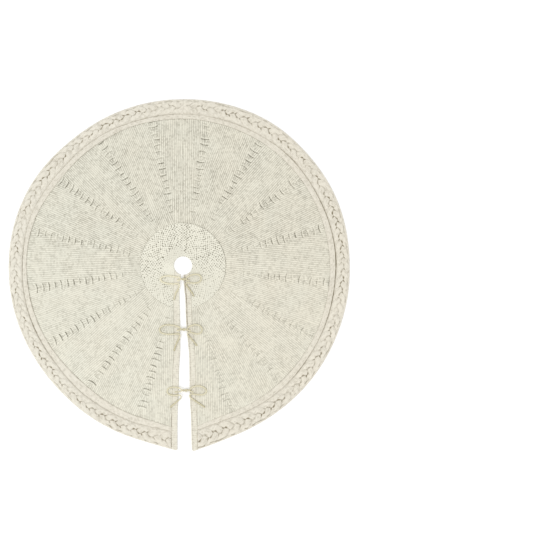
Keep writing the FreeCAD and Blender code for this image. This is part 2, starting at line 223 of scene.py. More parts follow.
def tube(line, radius, plies=3, lay=15.0, spacing=0.9, around=24, close_ends=True, tail=0.0, shade=1.0):
    """Points, quads, triangles, painted shade and stitch lines of a twisted cord along a line.

    The plies turn once in each lay. The last tail millimetres get painted shade, most at the cut end, and
    shade scales the painted shade in the grooves between the plies and on the cord's lower side.
    """
    centre, at = evenly(line, spacing)
    ahead = np.gradient(centre, axis=0)
    ahead /= np.linalg.norm(ahead, axis=1)[:, None]
    sides = carried_sides(ahead)
    ups = np.cross(sides, ahead)
    turn = np.linspace(0, 2 * math.pi, around, endpoint=False)
    phase = turn[None] - 2 * math.pi * at[:, None] / lay
    profile = ply_outline(phase, radius, plies)
    taper = np.ones(len(at))
    if close_ends:
        taper = np.sqrt(np.clip(np.minimum(at, at[-1] - at) / 1.6, 0.12, 1))
    outward = np.cos(turn)[None, :, None] * sides[:, None] + np.sin(turn)[None, :, None] * ups[:, None]
    surface = centre[:, None] + outward * (profile * taper[:, None])[..., None]
    points = np.concatenate([surface.reshape(-1, 3), centre[:1], centre[-1:]])

    rows = len(centre)
    index = np.arange(rows * around).reshape(rows, around)
    after = np.roll(index, -1, 1)
    quads = np.stack([index[:-1], after[:-1], after[1:], index[1:]], -1).reshape(-1, 4)
    first, last = rows * around, rows * around + 1
    start_cap = np.stack([np.full(around, first), after[0], index[0]], -1)
    end_cap = np.stack([np.full(around, last), index[-1], after[-1]], -1)

    # Painted shade in the grooves between the plies and towards the cord's lower side; the two cap centres
    # get a fixed painted shade.
    low = 1 - np.clip(outward[..., 2], 0, 1)
    groove = np.clip((radius - profile) / ((1 - PLY_GROOVE) * radius), 0, 1) ** 2
    shade_and_tone = shade * (0.7 * groove + 0.32 * low**2)
    # Painted shade along the tail's last stretch, growing towards its cut end, and more on the lower side.
    if tail:
        to_end = at - at[-1]
        tail_shade = np.clip((to_end + tail) / 10, 0, 1) * 0.5 + 0.8 * np.exp(to_end / 5)
        shade_and_tone = shade_and_tone + tail_shade[:, None] * (0.2 + 0.8 * low)
    shade_and_tone = np.append(np.clip(shade_and_tone, 0, 1).ravel(), [0.3, 0.3])
    stitch = np.stack([phase * plies / (2 * math.pi), np.broadcast_to(at[:, None] / 3, phase.shape)], -1)
    stitch = np.concatenate([stitch.reshape(-1, 2), np.zeros((2, 2))])
    return points, quads, np.concatenate([start_cap, end_cap]), shade_and_tone, stitch


def joined(tubes):
    """Several tubes' arrays as one."""
    points, quads, triangles, shade_and_tone, stitch = zip(*tubes)
    shift = np.cumsum([0] + [len(part) for part in points])
    quads = [faces + move for faces, move in zip(quads, shift)]
    triangles = [faces + move for faces, move in zip(triangles, shift)]
    return [np.concatenate(arrays) for arrays in (points, quads, triangles, shade_and_tone, stitch)]


# Materials -----------------------------------------------------------------------------------------------

# How far each leg of a V stitch leans along the wale, in courses.
STITCH_LEAN = 0.6


class Nodes:
    """Builds one material's node tree, a formula at a time."""

    def __init__(self, name):
        self.material = bpy.data.materials.new(name)
        self.material.use_nodes = True
        self.tree = self.material.node_tree
        self.shader = self.tree.nodes["Principled BSDF"]

    def put(self, value, socket):
        """Links another node's output to a socket, or sets the socket to a constant."""
        if hasattr(value, "is_output"):
            self.tree.links.new(value, socket)
        else:
            socket.default_value = value

    def math(self, operation, a, b=0.0, c=None):
        node = self.tree.nodes.new("ShaderNodeMath")
        node.operation = operation
        self.put(a, node.inputs[0])
        self.put(b, node.inputs[1])
        if c is not None:
            self.put(c, node.inputs[2])
        return node.outputs[0]

    def distance(self, a, middle):
        """How far a value is from the middle of its run from 0 to 1, from 0 to 1."""
        return self.math("MULTIPLY", self.math("ABSOLUTE", self.math("SUBTRACT", a, middle)), 2.0)

    def mix(self, factor, a, b):
        """A blend of two colours, whose sockets are the Mix node's seventh and eighth."""
        node = self.tree.nodes.new("ShaderNodeMix")
        node.data_type = "RGBA"
        self.put(factor, node.inputs[0])
        self.put(a, node.inputs[6])
        self.put(b, node.inputs[7])
        return node.outputs[2]

    def attribute(self, name, output):
        node = self.tree.nodes.new("ShaderNodeAttribute")
        node.attribute_name = name
        return node.outputs[output]

    def place(self):
        return self.tree.nodes.new("ShaderNodeTexCoord").outputs["Object"]

    def axes(self, vector):
        node = self.tree.nodes.new("ShaderNodeSeparateXYZ")
        self.tree.links.new(vector, node.inputs[0])
        return node.outputs

    def noise(self, scale, detail):
        node = self.tree.nodes.new("ShaderNodeTexNoise")
        node.inputs["Scale"].default_value = scale
        node.inputs["Detail"].default_value = detail
        self.tree.links.new(self.place(), node.inputs["Vector"])
        return node.outputs["Fac"]


def v_stitches(n):
    """Height of the V stitches, from 0 to 1, along the mesh's stitch lines."""
    lines = n.axes(n.attribute("stitch", "Vector"))
    leg = n.distance(n.math("FRACT", lines[0]), 0.5)
    course = n.math("FRACT", n.math("SUBTRACT", lines[1], n.math("MULTIPLY", leg, STITCH_LEAN)))
    gap = n.distance(course, 0.5)
    along = n.math("SUBTRACT", 1.0, n.math("MULTIPLY", gap, gap))
    across = n.math("SUBTRACT", 1.0, n.math("ABSOLUTE", n.math("MULTIPLY_ADD", leg, 2.0, -1.0)))
    return n.math("MULTIPLY", along, n.math("SQRT", across))


def warmth(n):
    """How warm the yarn's colour is, from 0 to 1: more towards the right, and in loose patches."""
    patches = n.math("SMOOTH_MIN", n.math("MULTIPLY_ADD", n.noise(9, 3.0), 3.0, -1.0), 1.0, 0.2)
    patches = n.math("MAXIMUM", patches, 0.0)
    rightward = n.math("MULTIPLY_ADD", n.axes(n.place())[0], 0.5, 0.35)
    level = n.math("MAXIMUM", n.math("MULTIPLY_ADD", patches, 0.35, rightward), 0.0)
    return n.math("MINIMUM", level, 1.0)


def yarn(name, colour, warm, deep, bump, fibre):
    """A knitted surface: V stitches along the stitch lines, mixed towards the deep colour by the painted
    shade and tone map and by painted shade between the stitches, fuzzy all over.
    """
    n = Nodes(name)
    stitch = v_stitches(n)
    node = n.tree.nodes.new("ShaderNodeBump")
    node.inputs["Strength"].default_value = bump
    node.inputs["Distance"].default_value = 0.0006
    n.tree.links.new(n.math("MULTIPLY_ADD", n.noise(1100, 2.0), fibre, stitch), node.inputs["Height"])
    n.tree.links.new(node.outputs["Normal"], n.shader.inputs["Normal"])

    base = n.mix(warmth(n), (*colour, 1), (*warm, 1))
    base = n.mix(n.math("MULTIPLY", n.noise(420, 2.0), 0.22), base, (*[level * 0.72 for level in colour], 1))
    # Painted shade in the gaps between the V stitches.
    hollow = n.math("MULTIPLY", n.math("SUBTRACT", 1.0, stitch), 0.16)
    depth = n.math("MINIMUM", n.math("ADD", n.attribute("shade_and_tone", "Fac"), hollow), 1.0)
    n.tree.links.new(n.mix(depth, base, (*deep, 1)), n.shader.inputs["Base Color"])
    n.shader.inputs["Roughness"].default_value = 0.92
    n.shader.inputs["Specular IOR Level"].default_value = 0.15
    n.shader.inputs["Sheen Weight"].default_value = 0.12
    n.shader.inputs["Sheen Roughness"].default_value = 0.5
    return n.material


GORE = yarn("gore_knit", (0.805, 0.797, 0.690), (0.838, 0.790, 0.662), (0.20, 0.185, 0.14), 0.55, 0.35)
YOKE = yarn("yoke_knit", (0.865, 0.855, 0.742), (0.896, 0.863, 0.733), (0.20, 0.185, 0.14), 0.45, 0.35)
BORDER = yarn("border_knit", (0.820, 0.791, 0.698), (0.855, 0.805, 0.694), (0.21, 0.175, 0.11), 0.60, 0.35)
BAND = yarn("band_knit", (0.825, 0.803, 0.688), (0.850, 0.812, 0.700), (0.22, 0.18, 0.13), 0.45, 0.35)
TIE = yarn("tie_cord", (0.890, 0.845, 0.655), (0.890, 0.845, 0.655), (0.34, 0.29, 0.13), 0.30, 0.60)

# Ties and knots ------------------------------------------------------------------------------------------


def ride_side(piece, side, node):
    """Fixes a piece to its half of the skirt: a right-half piece is attached to the right half's body, a
    left-half piece stays in place in the world.
    """
    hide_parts(node)
    if side == RIGHT:
        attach(piece, "right_half")
    else:
        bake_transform(piece)


def make_tie(name):
    """One tie cord, from its flap through the knot and round its loop to the end of its tail."""
    line = curve_points(TIES[name])
    shade = 0.4 if name == "tie_top_left" else 1.0
    piece = new_piece(f"{name}_rope", *tube(line, CORD / 2, tail=SHADED_TAIL, shade=shade), TIE)
    ride_side(piece, name.rsplit("_", 1)[1], name)


def make_knot(name):
    """The knot of a bow: two cords wound round each other, pinched by two turns round their middle."""
    start, stop, y = KNOTS[name]
    first, last, middle = start - 4.2, stop + 2.6, (start + stop) / 2
    along = np.linspace(0, 1, 80)
    tubes = []
    for phase in (0, math.pi):
        turn = phase + 2 * math.pi * along * (last - first) / 15
        pinch = 1 - 0.45 * np.exp(-(((first + along * (last - first) - middle) / 4) ** 2))
        line = np.stack([
            first + (last - first) * along,
            y + 2.3 * pinch * np.cos(turn),
            KNOT_HEIGHT + 1.6 * pinch * np.sin(turn) - 0.7 * (2 * along - 1) ** 2,
        ], 1)
        tubes.append(tube(line, 2.0, spacing=0.8, around=18, lay=11))
    turn = np.linspace(0, 2 * math.pi, 48)
    for shift, lean in ((-1.9, 1.0), (1.9, 1.6)):
        line = np.stack([
            middle + shift + lean * np.sin(turn),
            y + 3.7 * np.cos(turn),
            KNOT_HEIGHT - 0.3 + 2.3 * np.sin(turn),
        ], 1)
        tubes.append(tube(line, 1.75, spacing=0.8, around=18, lay=11, close_ends=False))
    points, quads, triangles, shade_and_tone, stitch = joined(tubes)
    # The knot's painted shade is made 1.7 times as strong as a cord's.
    piece = new_piece(f"{name}_rope", points, quads, triangles, np.clip(1.7 * shade_and_tone, 0, 1), stitch, TIE)
    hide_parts(name)
    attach(piece, "right_half")


for tie in TIES:
    make_tie(tie)
for knot in KNOTS:
    make_knot(knot)

# Plan of the skirt ---------------------------------------------------------------------------------------

# The yoke and the hole are circles about the hole's centre. The hem is one about CENTRE, and leaves it in a
# straight line to each of its CORNERS at the slit.
HOLE, YOKE_EDGE, HEM = 32.5, 152.0, 609.6
CENTRE = (-10.0, -19.5)
CORNERS = {LEFT: (-20.0, -649.0), RIGHT: (31.0, -652.0)}
BACK_GORE = {LEFT: 12.0, RIGHT: 10.0}
GORE_ANGLE, FULL_GORES, BAND_WIDTH = 21.7, 7, 22.0
# By degrees from the back centre: how far the hem strays from that outline, and how far inside the outline
# the groove beside the cable and the seam of the gores lie.
HEM_STRAY = {
    LEFT: [(0, -1), (40, -7), (60, 2), (75, 2), (120, -9), (135, -9), (170, 7), (180, 7)],
    RIGHT: [(0, -1), (32, 8), (45, 3), (65, 1), (85, -9), (110, -11), (150, -3), (170, 8), (180, 7)],
}
GROOVE = {
    LEFT: [(0, 53), (20, 56), (27, 52), (50, 57), (72, 44), (87, 51), (99, 50), (129, 63), (135, 57),
           (153, 54), (165, 48), (180, 57)],
    RIGHT: [(0, 53), (30, 52), (40, 48), (60, 54), (87, 56), (93, 61), (125, 63), (135, 59), (180, 60)],
}
SEAM = {
    LEFT: [(0, 70), (9, 72), (21, 69), (27, 73), (45, 74), (52, 78), (70, 63), (82, 63), (117, 77),
           (130, 85), (142, 86), (160, 74), (180, 70)],
    RIGHT: [(0, 70), (40, 70), (100, 81), (130, 82), (180, 74)],
}
# How dark the painted shade in the groove and along the seam is, by degrees from the back centre.
GROOVE_DARK = {
    LEFT: [(0, 0.20), (20, 0.20), (32, 0.08), (45, 0.16), (60, 0), (72, 0), (88, 0.50), (95, 0.20),
           (105, 0.32), (111, 0.70), (125, 0.26), (180, 0.03)],
    RIGHT: [(0, 0.22), (10, 0), (20, 0.28), (33, 0.05), (46, 0.60), (52, 0.26), (63, 0.55), (80, 0.60),
            (87, 1.40), (93, 0.70), (105, 0.80), (117, 0.15), (128, 0.66), (137, 0.15), (180, 0.03)],
}
SEAM_DARK = {
    LEFT: [(0, 0.10), (33, 0.26), (65, 0.12), (81, 0.42), (87, 0.20), (100, 0.48), (118, 0.30),
           (165, 0.26), (180, 0.05)],
    RIGHT: [(0, 0.10), (125, 0.06), (136, 0.32), (150, 0.06), (180, 0.05)],
}
# Along the slit: distance forward of the hole's centre and where the flap's edge is.
SLIT = {
    LEFT: [(0, -7.5), (50, -8.5), (60, -11.5), (85, -13.5), (190, -10.5), (320, -10), (355, -14.5),
           (425, -15), (530, -20), (700, -20)],
    RIGHT: [(0, 1), (60, 2), (125, 9), (190, 9.5), (320, 22), (480, 24), (530, 28), (700, 32)],
}
# How rough the yoke's seed stitch looks: how strongly its pits are painted with shade; where it is low, the
# yoke is darkened evenly instead.
YOKE_ROUGH = {
    LEFT: [(0, 1.0), (60, 1.1), (90, 0.75), (130, 0.5), (180, 0.45)],
    RIGHT: [(0, 1.0), (60, 1.0), (95, 0.65), (120, 0.35), (180, 0.45)],
}
# How dark the painted shade line round the right half of the yoke is, on the yoke's side and on the gores'
# side.
YOKE_RING_DARK = [(0, 0.26), (30, 0.38), (50, 0.28), (70, 0.42), (105, 0.24), (130, 0.04), (180, 0)]
GORE_RING_DARK = [(0, 0.10), (40, 0.10), (60, 0.25), (90, 0.25), (130, 0), (180, 0)]
# How strong the right half's ladder lines are.
LADDER_STRENGTH = [(0, 1.0), (80, 0.85), (115, 0.5), (180, 0.4)]
# How dark the painted shadow along the slit's right edge is, by distance forward of the hole's centre.
SLIT_EDGE_DARK = [(40, 0.3), (60, 0.6), (190, 0.6), (260, 0.22), (700, 0.18)]


def table_value(table, at):
    """A table's value, with straight lines between its points."""
    places, values = np.array(table, float).T
    return np.interp(at, places, values)


def smooth(table, at, width):
    """A table's value with its corners rounded over a width."""
    return sum(table_value(table, at + width * k / 6) * (7 - abs(k)) for k in range(-6, 7)) / 49


def grid(columns, rows):
    """Fractions from 0 to 1 down the rows and along the columns of a grid of points."""
    return np.meshgrid(np.linspace(0, 1, rows + 1), np.linspace(0, 1, columns + 1), indexing="ij")


def slit_x(side, y):
    return smooth(SLIT[side], -y, 40)


def band_line(side, y):
    """Where the slit band's outer edge lies."""
    return slit_x(side, y) + OUTWARD[side] * BAND_WIDTH


def line_radius(side, psi, line):
    """Distance of the hem, groove or seam from the hem's centre, psi degrees round from the back."""
    corner = np.array(CORNERS[side]) - CENTRE
    at_corner = math.degrees(math.atan2(abs(corner[0]), corner[1]))
    touch = at_corner - math.degrees(math.acos(HEM / math.hypot(*corner)))
    shape = HEM / np.cos(np.radians(np.clip(psi - touch, 0, 30)))
    if line == "hem":
        return shape + smooth(HEM_STRAY[side], psi, 8)
    return shape - smooth((GROOVE if line == "groove" else SEAM)[side], psi, 8)


def from_centre(side, psi, radius):
    """The point at an angle and a distance from the hem's centre."""
    angle = np.radians(psi)
    return CENTRE[0] + OUTWARD[side] * radius * np.sin(angle), CENTRE[1] + radius * np.cos(angle)


def from_hole(side, beta, radius):
    """The point at an angle and a distance from the hole's centre."""
    return OUTWARD[side] * radius * np.sin(np.radians(beta)), radius * np.cos(np.radians(beta))


def seam_line(side):
    """The seam as angles and distances about the hole's centre, short of where the angle turns over."""
    psi = np.linspace(-4, 182, 1500)[:1480]
    x, y = from_centre(side, psi, line_radius(side, psi, "seam"))
    angles = np.degrees(np.arctan2(OUTWARD[side] * x, y))
    order = np.argsort(angles)
    return angles[order], np.hypot(x, y)[order]


SEAM_LINES = {half: seam_line(half) for half in (LEFT, RIGHT)}


def seam_reach(side, beta):
    """Distance of the seam from the hole's centre."""
    return np.interp(beta, *SEAM_LINES[side])


def band_angle(side, radius):
    """Angle about the hole's centre at which a circle meets the slit band."""
    y = -radius
    for _ in range(4):
        x = band_line(side, y)
        y = -np.sqrt(np.maximum(radius**2 - x**2, 1))
    return np.degrees(np.arctan2(OUTWARD[side] * x, y))


# Patterns ------------------------------------------------------------------------------------------------


def noise2(x, y, seed):
    """Smooth noise from 0 to 1 with a cell of 1."""
    table = np.random.default_rng(seed).random((256, 256))
    i, j = np.floor(x).astype(int), np.floor(y).astype(int)
    fx, fy = x - i, y - j
    fx, fy = fx * fx * (3 - 2 * fx), fy * fy * (3 - 2 * fy)
    here, right = i % 256, (i + 1) % 256
    low = table[here, j % 256] * (1 - fx) + table[right, j % 256] * fx
    high = table[here, (j + 1) % 256] * (1 - fx) + table[right, (j + 1) % 256] * fx
    return low * (1 - fy) + high * fy


def noise1(x, seed):
    """Smooth noise from 0 to 1 that changes one way only."""
    return noise2(x, np.zeros_like(x), seed)


def cells(x, y, seed):
    """A random level from 0 to 1 for each cell of 1."""
    table = np.random.default_rng(seed).random((256, 256))
    return table[np.floor(x).astype(int) % 256, np.floor(y).astype(int) % 256]


def stitches(wale, course, seed):
    """A random level for each V stitch, and the shadow in the gap beside the lowest ones."""
    leg = 2 * np.abs((wale % 1) - 0.5)
    course = course - STITCH_LEAN * leg
    level = cells(wale, course, seed)
    gap = np.abs(2 * (course % 1) - 1) ** 2
    return level, (1 - level) ** 3 * (0.2 + 0.8 * gap)


def step(value, start, stop):
    """0 before start, 1 after stop, smooth between."""
    t = np.clip((value - start) / (stop - start), 0, 1)
    return t * t * (3 - 2 * t)


def near(distance, width):
    """1 on a line, and close to 0 two widths away from it."""
    return np.exp(-((distance / width) ** 2))


def rounded(distance, width):
    """A rolled edge: 0 at the edge, rising like a quarter circle to 1 at a width from it."""
    return np.sqrt(np.clip(1 - (1 - np.clip(distance / width, 0, 1)) ** 2, 0, 1))


def wave(turns):
    """A wave from 0 to 1, highest at whole turns."""
    return 0.5 + 0.5 * np.cos(2 * math.pi * turns)


# Cloth ---------------------------------------------------------------------------------------------------


def ring(index):
    """A grid's edge points, once round."""
    return np.concatenate([index[0, :-1], index[:-1, -1], index[-1, :0:-1], index[:0:-1, 0]])


def grid_quads(index):
    return np.stack([index[:-1, :-1], index[:-1, 1:], index[1:, 1:], index[1:, :-1]], -1).reshape(-1, 4)


def make_cloth(name, side, x, y, top, shade_and_tone, stitch, material):
    """A closed piece of knitting from a grid of points: fine on top, half as fine underneath."""
    area = np.cross(
        np.stack([x[:-1, 1:] - x[:-1, :-1], y[:-1, 1:] - y[:-1, :-1]], -1),
        np.stack([x[1:, :-1] - x[:-1, :-1], y[1:, :-1] - y[:-1, :-1]], -1),
    ).sum()
    shade_and_tone, stitch = np.clip(shade_and_tone, 0, 1), np.stack(stitch, -1)
    if area < 0:
        x, y, top, shade_and_tone, stitch = (values[:, ::-1] for values in (x, y, top, shade_and_tone, stitch))
    underside = 0.25 + 0.7 * noise2(stitch[..., 0], stitch[..., 1], 5)
    upper = np.stack([x, y, top], -1)
    lower = np.stack([x, y, underside], -1)[::2, ::2]
    index = np.arange(x.size).reshape(x.shape)
    under = np.arange(lower.shape[0] * lower.shape[1]).reshape(lower.shape[:2]) + x.size

    edge, edge_under = ring(index), ring(under)
    corner, between, next_corner = edge[::2], edge[1::2], np.roll(edge[::2], -1)
    below, next_below = edge_under, np.roll(edge_under, -1)
    walls = np.concatenate([
        np.stack([below, next_below, between], -1),
        np.stack([below, between, corner], -1),
        np.stack([next_below, next_corner, between], -1),
    ])
    quads = np.concatenate([grid_quads(index), grid_quads(under)[:, ::-1]])
    points = np.concatenate([upper.reshape(-1, 3), lower.reshape(-1, 3)])
    # The underside's painted shade: half the top's, plus a little overall and random patchy tone.
    reverse = 0.06 + 0.5 * shade_and_tone + 0.30 * (1 - noise2(stitch[..., 0], stitch[..., 1], 9)) ** 2
    hollow = np.concatenate([shade_and_tone.ravel(), reverse[::2, ::2].ravel()])
    lines = np.concatenate([stitch.reshape(-1, 2), stitch[::2, ::2].reshape(-1, 2)])
    piece = new_piece(f"{name}_cloth", points, quads, walls, hollow, lines, material)
    ride_side(piece, side, name)


# Gores ---------------------------------------------------------------------------------------------------

WALE, COURSE = 6.6, 5.2
FIRST_RUNG, RUNG_PITCH, RUNGS = 194.0, 21.8, 15
# How wide a gore is at the seam, for a full one by its distance from the hole and for a narrow one outright,
# and the width of a column of its grid there.
SEAM_RADIUS, NARROW_GORE, GORE_COLUMN = 540, 105, 1.5
# For each slot of each ladder, how its length, place, bend, strength and distance stray.
SLOTS = {
    (half, ladder): rng.normal(size=(RUNGS + 1, 5))
    for half in (LEFT, RIGHT) for ladder in range(FULL_GORES + 1)
}


def ladder_marks(side, ladder, beta, radius):
    """Slots and rungs across the line between two gores, and the distance from that line."""
    across = np.radians(beta - BACK_GORE[side] - GORE_ANGLE * ladder) * radius
    k = np.clip(np.round((radius - FIRST_RUNG) / RUNG_PITCH).astype(int), 0, RUNGS)
    longer, aside, curl, strength, outward = np.moveaxis(SLOTS[side, ladder][k], -1, 0)
    half_length = 9.5 + 0.38 * k + 2.0 * longer
    shifted = across - 1.5 * aside
    bend = 0.05 * curl * shifted + 0.012 * shifted**2 * np.sign(strength + 0.6)
    offset = radius - (FIRST_RUNG + RUNG_PITCH * k + 1.2 * outward) - bend
    window = step(half_length - np.abs(shifted), -0.8, 2.0)
    slot = window * near(offset, 1.1) * np.clip(0.9 + 0.35 * strength, 0.35, 1.3)
    rung = window * near(offset - 4.2, 2.2)
    fade = step(radius, 176, 200) * (0.55 + 0.45 * step(radius, 225, 285))
    if side == RIGHT:
        fade = fade * table_value(LADDER_STRENGTH, beta)
    return slot * fade, rung * fade, across


def make_gore(side, number):
    """One gore, from the yoke to the seam: 0 is half of the one at the back, and the last is by the slit."""
    front = number == FULL_GORES + 1
    low = 0.0 if number == 0 else BACK_GORE[side] + GORE_ANGLE * (number - 1)
    high = BACK_GORE[side] + GORE_ANGLE * number
    widest = math.radians(GORE_ANGLE) * SEAM_RADIUS if 0 < number <= FULL_GORES else NARROW_GORE
    v, u = grid(columns=2 * round(widest / GORE_COLUMN / 2), rows=270)
    beta = low + u * ((178 if front else high) - low)
    if front:
        for _ in range(4):
            radius = YOKE_EDGE + v * (seam_reach(side, beta) - YOKE_EDGE)
            beta = low + u * (band_angle(side, radius) - low)
    radius = YOKE_EDGE + v * (seam_reach(side, beta) - YOKE_EDGE)
    x, y = from_hole(side, beta, radius)

    middle = 179.0 if front else (low + high) / 2
    wales = x / WALE if number == 0 else radius * np.sin(np.radians(beta - middle)) / WALE
    courses = radius / COURSE
    seed = 100 * (side == RIGHT) + number + 10
    wales = wales + 0.5 * (noise2(wales / 3, radius / 45, seed + 120) - 0.5)
    strand = cells(wales + 0.5, radius / 31, seed)
    lump, shadow = stitches(wales + 0.5, courses, seed + 40)
    pool = noise2(wales / 4, radius / 26, seed + 80)
    ridge = wave(wales)
    top = 4.2 + 0.9 * ridge**0.6 + 0.35 * lump + 0.25 * strand
    # Painted shade in the valleys between the wales and in the gaps beside the lowest stitches, with random
    # tone by strand; the gore is painted darker towards the back, away from the key light.
    dark = 0.42 * (1 - ridge) ** 2 * (0.45 + 0.6 * pool) + 0.52 * shadow
    dark = (dark + 0.06 * (1 - strand) ** 2) * (0.92 + 0.22 * step(y, -150, 150))

    for ladder in (number, number - 1):
        if not 0 <= ladder <= FULL_GORES:
            continue
        slot, rung, across = ladder_marks(side, ladder, beta, radius)
        flush = 1 - step(np.abs(across), 0.3, 2.2)
        top = top * (1 - flush) + 4.5 * flush
        top = top + 0.8 * rung - 2.4 * slot
        comb = (lump < 0.35) * step(17 - np.abs(across), 0, 5) * step(radius, 220, 300)
        # Painted shade in the slots, rungs painted lighter, and the lowest stitches near the ladder a little
        # darker.
        dark = dark * (1 - 0.8 * rung) + 0.74 * slot + 0.07 * comb
    if number == 0:
        flush = 1 - step(np.abs(x), 0.3, 2.2)
        top = top * (1 - flush) + 4.6 * flush

    to_seam, to_yoke = seam_reach(side, beta) - radius, radius - YOKE_EDGE
    dash = 0.65 + 0.7 * noise1(np.radians(beta) * radius / 7, seed + 7)
    top = top - 0.7 * near(to_seam, 1.8) - 0.5 * near(to_yoke, 1.8)
    # Painted shade along the dip at the seam, in dashes.
    dark = dark + smooth(SEAM_DARK[side], beta, 3) * dash * near(to_seam, 1.9)
    # On the right, painted shade along the dip at the yoke's edge, in dashes.
    if side == RIGHT:
        dark = dark + table_value(GORE_RING_DARK, beta) * dash * near(to_yoke, 2.2)
    label = {0: "back", FULL_GORES + 1: "front"}.get(number, number)
    make_cloth(
        f"gore_{label}_{side}", side, x, y, top, dark, (wales + 0.5, courses),
        GORE,
    )


# Yoke ----------------------------------------------------------------------------------------------------

YOKE_WALE, YOKE_COURSE = 5.6, 4.5


def make_yoke(side):
    """Half of the round collar of seed stitch, which is nearly plain round the hole."""
    v, u = grid(columns=416, rows=100)
    radius = HOLE + v * (YOKE_EDGE - HOLE)
    beta = u * band_angle(side, radius)
    x, y = from_hole(side, beta, radius)

    course = (radius - HOLE) / YOKE_COURSE
    number = np.floor(course)
    block = np.floor(number / 5)
    around = 2 * np.round(math.pi * (HOLE + YOKE_COURSE * (5 * block + 2.5)) / YOKE_WALE)
    wale = beta / 360 * around + 0.35 * noise2(beta / 9, course / 5, 77)
    bump = 0.5 + 0.5 * np.cos(math.pi * (wale + number)) * np.sin(math.pi * (course - number))
    plain = 1 - step(radius, 62, 78)
    if side == RIGHT:
        plain = plain * (0.25 + 0.75 * step(beta, 100, 130))
    seed = 60 + (side == RIGHT)
    lump = noise2(x / 7, y / 7, seed)
    speck = cells(wale, course, seed + 4)
    # Painted shade in the pits between the seed stitches, with random specks and patchy tone.
    pit = (1 - bump) ** 3 * (1 - 0.8 * plain)
    top = 3.9 + 1.1 * bump * (1 - 0.6 * plain) + 0.35 * lump + 0.5 * plain
    rough = table_value(YOKE_ROUGH[side], beta)
    dark = 2.0 * rough * pit * (0.08 + 0.3 * lump + 1.3 * speck**3) + 0.14 * (1.15 - rough)
    plain_dark = 0.10 if side == RIGHT else 0.15 * (1 - step(beta, 60, 100))
    dark = dark + 0.05 * (1 - lump) ** 2 + plain_dark * plain

    if side == RIGHT:
        # A join line at the back, with a dip and painted shade in it.
        join = near(x - 13 - (y - 90) * 0.03, 2.2) * step(y, 48, 60)
        top = top - 0.8 * join
        dark = dark + 0.3 * join * lump
        ring_dark = table_value(YOKE_RING_DARK, beta)
    else:
        ring_dark = 0.03 + 0.03 * (1 - step(beta, 60, 90))
    to_gores, to_hole = YOKE_EDGE - radius, radius - HOLE
    dash = 0.6 + 0.8 * noise1(beta / 2.2, seed + 3)
    top = top - 0.4 * near(to_gores, 1.8)
    # Painted shade along the dip at the yoke's edge, in dashes.
    dark = dark + ring_dark * dash * near(to_gores, 2.0)
    top = 2.0 + (top - 2.0 + 0.5 * near(to_hole - 3, 2.5)) * rounded(to_hole, 3.2)
    flush = (1 - step(np.abs(x), 0.2, 1.6)) * (y > 0)
    top = top * (1 - 0.6 * flush) + 0.6 * flush * 4.4
    make_cloth(
        f"yoke_{side}", side, x, y, top, dark, (wale, course),
        YOKE,
    )


# Border --------------------------------------------------------------------------------------------------

# The radii at which the plain band's and the cable's stitches are counted, and the width of a wale.
BAND_RADIUS, CABLE_RADIUS, BORDER_WALE = 550, 590, 5.0
ROLLED_EDGE, PLAIT_PERIOD, STRANDS = 5.0, 126.0, 3
# The height that stands for no strand, below all that a strand has.
NO_STRAND = -9.0


def border_grid(side, outer, inner, columns, rows):
    """Angles, radii, fractions and points between two lines of the border, from the back to the slit band."""
    v, u = grid(columns, rows)

    def reach(psi):
        return line_radius(side, psi, outer) * (1 - v) + line_radius(side, psi, inner) * v

    start, stop = np.zeros_like(v), np.full_like(v, 176)
    for _ in range(6):
        start = np.degrees(np.arcsin(-OUTWARD[side] * CENTRE[0] / reach(start)))
        radius = reach(stop)
        below = CENTRE[1] + radius * np.cos(np.radians(stop))
        aside = OUTWARD[side] * (band_line(side, below) - CENTRE[0])
        stop = 180 - np.degrees(np.arcsin(aside / radius))
    psi = start + u * (stop - start)
    radius = reach(psi)
    return psi, v, *from_centre(side, psi, radius)


def groove_shade(side, psi, along, from_groove, seed):
    """The broken dark line of the groove between the plain band and the cable."""
    dash = 0.6 + 0.8 * noise1(along / 9, seed)
    return 0.9 * smooth(GROOVE_DARK[side], psi, 3) * dash * near(from_groove, 1.7)


def make_plain_band(side):
    """The plain strip between the gores' seam and the cable's groove."""
    psi, v, x, y = border_grid(side, "groove", "seam", columns=1400, rows=18)
    width = line_radius(side, psi, "groove") - line_radius(side, psi, "seam")
    from_groove, from_seam = v * width, (1 - v) * width
    along = np.radians(psi) * BAND_RADIUS
    wale, course = from_groove / BORDER_WALE, along / COURSE
    seed = 70 + (side == RIGHT)
    lump = noise2(along / 11, v * 3, seed)
    top = 4.9 + 0.7 * np.sin(math.pi * np.clip(v, 0.02, 0.98)) ** 0.8
    top = top + 0.35 * np.cos(2 * math.pi * (wale - 0.5)) + 0.35 * lump - 0.3
    _, shadow = stitches(wale, course, seed + 6)
    # Painted shade between the wales and in the gaps beside the lowest stitches, with patchy tone; then
    # painted shade in the groove.
    dark = 0.10 * (1 - lump) + 0.10 * (1 - wave(wale)) + 0.50 * shadow
    dark = dark + groove_shade(side, psi, along, from_groove, seed + 4)
    fine_dash = 0.5 + 1.0 * noise1(along / 5, seed + 9)
    # Painted shade along the dip at the seam, in finer dashes.
    dark = dark + smooth(SEAM_DARK[side], psi, 3) * fine_dash * near(from_seam, 1.8)
    make_cloth(
        f"plain_band_{side}", side, x, y, top, dark, (wale, course),
        BORDER,
    )


